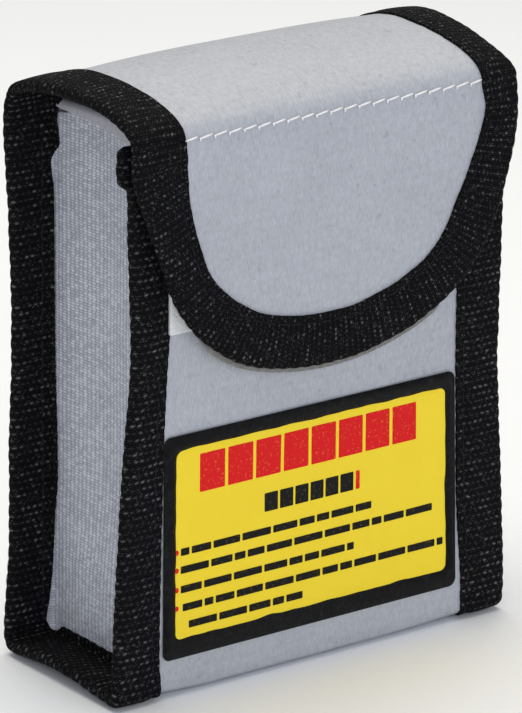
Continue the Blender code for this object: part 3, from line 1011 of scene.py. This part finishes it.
def dome_frames(side):
    """One side edge of the flap's top, from its root to the fold."""
    frames = []
    for s in steps(S_START, S_FOLD, 72):
        n = LINE.normal(s)
        y, z = LINE.at(s)
        width = of_side(through(DOME_TAPE_WIDTHS, s), side)
        frames.append((Vector((side * half_width(s, side), y, z)), Vector((-side, 0.0, 0.0)),
                       Vector((0.0, -n[0], -n[1])), width, s))
    return frames


def flap_edge():
    """The flap's outer edge from its left root over the fold, round the tip and back up to its right root:
    place, inward and outward directions, the tape's width and the place on the line."""
    outline = flap_outline(330)
    face = Vector((0.0, -1.0, 0.0))
    hanging = []
    for i, (x, z, width) in enumerate(outline):
        nx, nz = inward_of(outline, i)
        hanging.append((Vector((x, FLAP_Y, z)), Vector((nx, 0.0, nz)), face, width, S_FOLD + FOLD_Z - z))
    return dome_frames(-1) + hanging[1:-1] + dome_frames(1)[::-1]


def make_flap_tape():
    """Tape folded over the flap's whole edge; returns the frames along that edge."""
    frames = flap_edge()
    along = lengths_along([f[0] for f in frames])
    radius = (FLAP_INNER_LEAF - OUTER_LEAF) / 2
    rows = []
    uvs = []
    for s, (point, inward, outward, width, on_side) in zip(along, frames):
        edge_shift = scallop(s, 2.0) * 0.7
        outer_reach = width - scallop(s, 5.0) * 0.5
        inner_reach = width - 0.5 * MM - scallop(s, 8.0) * 0.4
        depth_out = OUTER_LEAF - 0.08 * MM * soft_noise(s, 0.0, 0.0, 9.0 * MM, 6.0)
        section = tape_section(radius, depth_out, inner_reach, outer_reach)
        row = []
        for d, depth in section:
            place = point + inward * (d + edge_shift)
            row.append(place - outward * (depth + edge_roll(on_side, place.x)))
        rows.append(row)
        uvs.append([(a, s) for a in lengths_along(section)])
    piece = thick(grid("flap_tape", rows, uvs), TAPE)
    dress(piece, FLAP_TAPE, None, "black_tape", "flap_top_left_binding", "flap_top_right_binding",
          "flap_front_binding")
    fold_blend(piece)
    return frames


def make_mouth_tape():
    """Tape over the front panel's top edge, under the flap."""
    half = MOUTH_HIGH.x - 0.2 * MM
    radius = (FLAP_INNER_LEAF - OUTER_LEAF) / 2
    drop = MOUTH_HIGH.z - MOUTH_LOW.z
    rows = []
    uvs = []
    for x in steps(-half, half, 120):
        section = tape_section(radius, OUTER_LEAF, drop - 0.6 * MM, drop + scallop(x, 12.0) * 0.6)
        rows.append([Vector((x, FRONT_Y + depth, MOUTH_HIGH.z - 0.3 * MM - d)) for d, depth in section])
        uvs.append([(a, x) for a in lengths_along(section)])
    piece = thick(grid("mouth_tape", rows, uvs), TAPE)
    dress(piece, BLACK_TAPE, "pouch", "black_tape", "mouth_binding")


# ---------------------------------------------------------------- stitches
def add_stitch(bm, start, end, up, radius):
    """One stitch: a short thread that arches from hole to hole."""
    along = end - start
    side = along.cross(up).normalized()
    rings = []
    for share in steps(0.0, 1.0, 6):
        lift = radius * (math.sin(math.pi * share) ** 0.5 - 0.35)
        centre = start + along * share + up * lift
        size = radius * (0.65 + 0.35 * math.sin(math.pi * share))
        rings.append([bm.verts.new(centre + size * (side * math.cos(a) + up * math.sin(a)))
                      for a in steps(0.0, 2 * math.pi, 8)[:-1]])
    for near, far in zip(rings, rings[1:]):
        for k in range(8):
            bm.faces.new((near[k], near[(k + 1) % 8], far[(k + 1) % 8], far[k]))
    bm.faces.new(reversed(rings[0]))
    bm.faces.new(rings[-1])


def stitch_line(name, place, length):
    """A row of stitches; place(distance) gives a point and the direction that faces out."""
    bm = bmesh.new()
    count = int(length / STITCH)
    for k in range(count):
        a, up = place((k + 0.5 - STITCH_SHARE / 2) * length / count)
        b = place((k + 0.5 + STITCH_SHARE / 2) * length / count)[0]
        add_stitch(bm, a, b, up, STITCH_RADIUS)
    return solid_from(name, bm)


def make_seam_stitches(side, word):
    """The threads that hold a seam's tape: on the front, on the back and on the inner leaf."""
    lift = TAPE / 2 - OUTER_LEAF
    for face, s_from, s_to, node in (
        ("front", 2.0 * MM, S_FRONT_LOW - 2.5 * MM, word + "_front_seam_thread"),
        ("back", S_BACK_LOW + 1.0 * MM, S_HINGE - 2.5 * MM, word + "_back_seam_thread"),
    ):
        def place(distance, s_from=s_from, face=face):
            """A point of the seam and the way it faces."""
            s = s_from + distance
            n = LINE.normal(s)
            edge = half_width(s, side) - TAPE_WIDTH
            if face == "front":
                edge = of_side(through(FRONT_INNER_EDGE, s), side)
            point = on_line(s, side * (edge + STITCH_INSET), -lift + 0.25 * MM)
            return point, Vector((0.0, -n[0], -n[1]))

        piece = stitch_line(word + "_" + face + "_stitches", place, s_to - s_from)
        dress(piece, BLACK_THREAD, "pouch", "black_thread", node)
    inner = SEAM_INNER_LEAF + TAPE / 2
    bm = bmesh.new()
    for s_from, s_to in ((6.0 * MM, S_FRONT_LOW - 4.0 * MM), (S_BACK_LOW + 1.0 * MM, S_HINGE - 8.0 * MM)):
        count = int((s_to - s_from) / STITCH)
        for k in range(count):
            s0 = s_from + (k + 0.12) * (s_to - s_from) / count
            s1 = s_from + (k + 0.85) * (s_to - s_from) / count
            n = LINE.normal(s0)
            x = side * (GUSSET_X + 3.2 * MM)
            add_stitch(bm, on_line(s0, x, inner), on_line(s1, x, inner), Vector((0.0, *n)), 0.24 * MM)
    piece = solid_from(word + "_inner_stitches", bm)
    dress(piece, BLACK_THREAD, "pouch", "black_thread")


def make_flap_stitches(frames):
    """Stitches along the tape's inner edge, all round the flap."""
    lift = TAPE / 2 - OUTER_LEAF - 0.25 * MM
    line = [(p + i * (width - STITCH_INSET) + n * lift, n) for p, i, n, width, _ in frames]
    along = lengths_along([item[0] for item in line])

    def place(distance):
        """A point of the row and the way it faces."""
        k = next((j for j in range(1, len(along)) if along[j] >= distance), len(along) - 1)
        share = (distance - along[k - 1]) / (along[k] - along[k - 1])
        return line[k - 1][0].lerp(line[k][0], share), line[k][1]

    piece = stitch_line("flap_tape_stitches", place, along[-1])
    dress(piece, BLACK_THREAD, None, "black_thread", "flap_rim_thread")
    fold_blend(piece)


def make_fold_stitches():
    """The white seam across the fold: slanted stitches, each with a small knot where it starts."""
    left = -half_width(S_FOLD, -1) + DOME_TAPE_WIDTHS[-1][1] - 0.3 * MM
    right = half_width(S_FOLD, 1) - DOME_TAPE_WIDTHS[-1][2] + 0.3 * MM
    s = S_FOLD - 0.4 * MM
    n = LINE.normal(s)
    up = Vector((0.0, -n[0], -n[1]))
    down = up.cross(Vector((1.0, 0.0, 0.0)))
    if down.z > 0:
        down.negate()
    y, z = LINE.at(s)
    bm = bmesh.new()
    count = round((right - left) / STITCH)
    pitch = (right - left) / count
    for k in range(count):
        hole = Vector((left + k * pitch, y, z)) + up * 0.10 * MM
        wobble = down * 0.10 * MM * soft_noise(k * 1.7, 0.0, 0.0, 1.0, 3.0)
        start = hole + Vector((0.35 * MM, 0.0, 0.0)) + down * 0.22 * MM + wobble
        end = hole + Vector((pitch - 0.15 * MM, 0.0, 0.0)) - down * 0.20 * MM + wobble
        add_stitch(bm, start, end, up, 0.20 * MM)
        knot = start - down * 0.15 * MM
        add_stitch(bm, knot, knot + down * 0.65 * MM - Vector((0.12 * MM, 0.0, 0.0)), up, 0.20 * MM)
    piece = solid_from("fold_stitches", bm)
    dress(piece, WHITE_THREAD, "flap_top", "white_thread", "fold_thread")


# ---------------------------------------------------------------- label, closure and inner pieces
def rounded_outline(half, low, high, radius, count=6):
    """(x, z) points of an upright rectangle with rounded corners, anticlockwise seen from the front."""
    points = []
    for x, z, start in ((half, low, -90.0), (half, high, 0.0), (-half, high, 90.0), (-half, low, 180.0)):
        cx = x - math.copysign(radius, x)
        cz = low + radius if z == low else high - radius
        points += [(cx + radius * math.cos(math.radians(a)), cz + radius * math.sin(math.radians(a)))
                   for a in steps(start, start + 90.0, count)]
    return points


def lean(x, z):
    """The label's right side leans out a little towards its foot."""
    down = (LABEL_HIGH.z - z) / (LABEL_HIGH.z - LABEL_LOW.z)
    return x + max(x / LABEL_HIGH.x, 0.0) * (down - 0.5) * 1.5 * MM


LABEL_Y = FRONT_Y - 0.5 * MM
LABEL_SHIFT = -0.45 * MM


def make_label():
    """The woven label: an embroidered edge round a yellow field."""
    half = LABEL_HIGH.x + 0.25 * MM
    low = LABEL_LOW.z
    high = LABEL_HIGH.z
    left = FIELD_LOW.x - 0.4 * MM
    right = FIELD_HIGH.x + 0.5 * MM
    bottom = FIELD_LOW.z + 1.4 * MM
    top = FIELD_HIGH.z - 0.1 * MM
    outer = rounded_outline(half, low, high, 1.6 * MM, 8)
    ring = []
    for a, b in zip(outer, outer[1:] + outer[:1]):
        count = max(1, round(math.dist(a, b) / (1.2 * MM)))
        ring += [(a[0] + (b[0] - a[0]) * i / count, a[1] + (b[1] - a[1]) * i / count) for i in range(count)]
    along = lengths_along(ring + ring[:1])
    rows = []
    uvs = []
    for i, (x, z) in enumerate(ring + ring[:1]):
        uneven = 1.0 + 0.10 * soft_noise(along[i % len(ring)], 0.0, 0.0, 5.0 * MM, 11.0)
        inner_x = left + (right - left) * (x + half) / (2 * half)
        inner_z = bottom + (top - bottom) * (z - low) / (high - low)
        inner_x = x + (inner_x - x) * uneven
        inner_z = z + (inner_z - z) * uneven
        row = []
        for share in steps(0.0, 1.0, 8):
            rise = 0.15 * MM + 0.75 * MM * math.sin(math.pi * min(max(share, 0.02), 0.98)) ** 0.6
            px = x + (inner_x - x) * share
            pz = z + (inner_z - z) * share
            row.append(Vector((lean(px, pz) + LABEL_SHIFT, FRONT_Y - rise, pz)))
        rows.append(row)
        uvs.append([(2.8 * MM * share, along[i]) for share in steps(0.0, 1.0, 8)])
    piece = thick(grid("label_edge", rows, uvs, weld=0.00001), 0.3 * MM)
    dress(piece, SATIN, "pouch", "black_thread", "label_border")

    rows = []
    uvs = []
    for z in steps(bottom - 0.5 * MM, top + 0.5 * MM, 30):
        row = []
        for x in steps(left - 0.5 * MM, right + 0.5 * MM, 48):
            row.append(Vector((lean(x, z) + LABEL_SHIFT, LABEL_Y + field_swell(x, z), z)))
        rows.append(row)
        uvs.append([(p.x, p.z) for p in row])
    piece = thick(grid("label_field", rows, uvs), 0.3 * MM)
    dress(piece, YELLOW, "pouch", "yellow_patch", "label_patch")
    make_print(left, right, bottom, top)


def field_swell(x, z):
    """How far the label's cloth lies in from flat."""
    return 0.10 * MM * soft_noise(x, z, 0.0, 11.0 * MM, 1.5)


def add_bar(bm, x0, x1, z0, z1, cut=0.12 * MM):
    """A flat printed bar with clipped corners, lying on the label."""
    cut = min(cut, (x1 - x0) / 3)
    outline = [(x0 + cut, z0), (x1 - cut, z0), (x1, z0 + cut), (x1, z1 - cut),
               (x1 - cut, z1), (x0 + cut, z1), (x0, z1 - cut), (x0, z0 + cut)]
    front = []
    back = []
    for x, z in outline:
        place = lean(x, z) + LABEL_SHIFT
        face_y = LABEL_Y - 0.15 * MM + field_swell(x, z)
        front.append(bm.verts.new((place, face_y - 0.06 * MM, z)))
        back.append(bm.verts.new((place, face_y + 0.08 * MM, z)))
    bm.faces.new(front)
    bm.faces.new(reversed(back))
    for k in range(8):
        bm.faces.new((front[k], back[k], back[(k + 1) % 8], front[(k + 1) % 8]))


def make_print(left, right, bottom, top):
    """Generic print: blocks where a headline would be, dashes where small text would be, and bullets."""

    def u(share):
        """x at a share of the field's width."""
        return left + (right - left) * share

    def v(share):
        """z at a share of the field's height, from its top."""
        return top - (top - bottom) * share

    red = bmesh.new()
    black = bmesh.new()
    pitch = 0.1025
    for k in range(8):
        add_bar(red, u(0.082 + k * pitch), u(0.070 + (k + 1) * pitch), v(0.240), v(0.035))
    pitch = 0.0565
    for k in range(6):
        add_bar(black, u(0.320 + k * pitch), u(0.312 + (k + 1) * pitch), v(0.435), v(0.335))
    add_bar(red, u(0.661), u(0.675), v(0.435), v(0.335))
    lines = ((0.543, 0.015, 0.72), (0.640, 0.015, 0.965), (0.745, 0.015, 0.655), (0.845, 0.022, 0.992),
             (0.943, 0.045, 0.475))
    for k, (row, start, end) in enumerate(lines):
        x = start
        word = 0
        while x < end - 0.02:
            size = 0.030 + 0.075 * abs(math.sin(3.7 * word + 1.9 * k))
            stop = min(x + size, end)
            add_bar(black, u(x), u(stop), v(row + 0.017), v(row - 0.022))
            x = stop + 0.009
            word += 1
        if k < 4:
            add_bar(red, u(-0.006), u(0.007), v(row + 0.010), v(row - 0.018), cut=0.3 * MM)
    for name, bm, material in (("label_print_red", red, RED_INK), ("label_print_black", black, BLACK_INK)):
        piece = solid_from(name, bm)
        for face in piece.data.polygons:
            face.use_smooth = False
        dress(piece, material, "pouch", "yellow_patch")


def slab(name, low, high, relief, seed):
    """A closed, slightly uneven pad between two corners of a box."""
    rows = []
    uvs = []
    middle_y = (low.y + high.y) / 2
    for z in steps(low.z, high.z, 36):
        row = []
        for x in steps(low.x, high.x, 60):
            lift = relief * soft_noise(x, z, 0.0, 3.0 * MM, seed)
            row.append(Vector((x, middle_y + lift, z)))
        rows.append(row)
        uvs.append([(p.x, p.z) for p in row])
    return thick(grid(name, rows, uvs), (high.y - low.y) * 0.8)


def make_closure():
    """The loop strip on the pouch's front and the hook strip inside the flap."""
    loop_foot = LOOP_LOW + Vector((0.0, 0.0, 0.8 * MM))
    loop = slab("loop_strip_nap", loop_foot, LOOP_HIGH, 0.10 * MM, 21.0)
    dress(loop, LOOP_NAP, "pouch", "hook_and_loop", "loop_strip")
    hook = slab("hook_strip_base", HOOK_LOW, HOOK_HIGH, 0.03 * MM, 22.0)
    dress(hook, HOOK_BASE, "flap_front", "hook_and_loop", "hook_strip")
    bm = bmesh.new()
    face = HOOK_HIGH.y - 0.15 * MM
    for z in steps(HOOK_LOW.z + 1.0 * MM, HOOK_HIGH.z - 1.0 * MM, 14):
        for x in steps(HOOK_LOW.x + 1.0 * MM, HOOK_HIGH.x - 1.0 * MM, 34):
            root = Vector((x, face, z))
            tip = root + Vector((0.45 * MM, 0.35 * MM, 0.0))
            add_stitch(bm, root, tip, Vector((0.0, 0.0, 1.0)), 0.13 * MM)
    hooks = solid_from("hook_strip_hooks", bm)
    dress(hooks, HOOK_BASE, "flap_front", "hook_and_loop")


def make_edge_strip():
    """A thin dark grey strip behind the flap's tape whose edge shows just past it round the flap's tip."""
    outline = flap_outline(330)
    reach = 31.5 * MM
    shown = [i for i, (x, z, _) in enumerate(outline) if abs(x) < reach and z < FOLD_Z - 20.0 * MM]
    rows = []
    uvs = []
    for i in shown:
        x, z, _ = outline[i]
        nx, nz = inward_of(outline, i)
        ends = smoothstep((reach - abs(x)) / (6.0 * MM))
        ragged = 0.10 * MM * soft_noise(x, z, 0.0, 1.1 * MM, 2.0)
        show = (1.75 * MM + 0.022 * x + ragged) * ends
        row = []
        for d in steps(-3.0 * MM, show, 5):
            row.append(Vector((x - nx * d, FLAP_Y + 2.15 * MM, z - nz * d)))
        rows.append(row)
        uvs.append([(MM * j, 0.5 * MM * i) for j in range(6)])
    piece = thick(grid("flap_edge_strip", rows, uvs), 0.45 * MM)
    dress(piece, GREY_EDGE_STRIP, "flap_front", "lining_cloth")


# ---------------------------------------------------------------- stage, light and camera
def make_stage():
    """Floor, soft sky and three large lamps."""
    bpy.ops.mesh.primitive_plane_add(size=6.0, location=(0.0, 0.0, -0.0001))
    floor = bpy.context.object
    floor.name = "floor"
    floor.data.materials.append(floor_material())
    world = bpy.data.worlds.new("studio")
    world.use_nodes = True
    world.node_tree.nodes["Background"].inputs["Color"].default_value = (0.90, 0.96, 1.06, 1.0)
    world.node_tree.nodes["Background"].inputs["Strength"].default_value = 0.34
    bpy.context.scene.world = world
    lights = (
        ("top_light", (0.05, 0.15, 0.95), 0.9, 8.2, (1.0, 0.93, 0.80)),
        ("front_light", (0.10, -1.10, 0.45), 0.8, 1.9, (0.97, 0.97, 1.0)),
        ("left_light", (-0.62, -0.90, 0.38), 0.6, 2.9, (0.97, 0.97, 1.0)),
    )
    target = Vector((0.0, 0.0, 0.06))
    for name, place, size, power, colour in lights:
        data = bpy.data.lights.new(name, "AREA")
        data.size = size
        data.energy = power
        data.color = colour
        lamp = bpy.data.objects.new(name, data)
        lamp.location = place
        lamp.rotation_euler = (target - Vector(place)).to_track_quat("-Z", "Y").to_euler()
        bpy.context.scene.collection.objects.link(lamp)


def make_camera():
    """A long lens from the front left, a little above the pouch."""
    azimuth = math.radians(-36.44)
    elevation = math.radians(19.24)
    roll = math.radians(0.64)
    distance = 1.1029
    back = Vector((math.sin(azimuth) * math.cos(elevation), -math.cos(azimuth) * math.cos(elevation),
                   math.sin(elevation)))
    right = Vector((math.cos(azimuth), math.sin(azimuth), 0.0))
    up = back.cross(right)
    right, up = right * math.cos(roll) + up * math.sin(roll), up * math.cos(roll) - right * math.sin(roll)
    aim = right * 1.41 * MM + up * 55.31 * MM + Vector((0.0, CENTRE_Y, 0.0))
    data = bpy.data.cameras.new("camera")
    data.sensor_fit = "HORIZONTAL"
    data.sensor_width = 36.0
    data.lens = 377.3
    data.clip_start = 0.05
    camera = bpy.data.objects.new("camera", data)
    turn = Matrix((right, up, back)).transposed().to_4x4()
    camera.matrix_world = Matrix.Translation(aim + back * distance) @ turn
    bpy.context.scene.collection.objects.link(camera)
    bpy.context.scene.camera = camera


bpy.context.scene.view_settings.view_transform = "Standard"
make_camera()
make_stage()
make_wrap()
make_flap_cloth()
for sign, name in ((-1, "left"), (1, "right")):
    make_gusset(sign, name)
    make_hem(sign, name)
    make_seam_tape(sign, name)
    make_seam_stitches(sign, name)
make_mouth_tape()
make_flap_stitches(make_flap_tape())
make_fold_stitches()
make_label()
make_closure()
make_edge_strip()
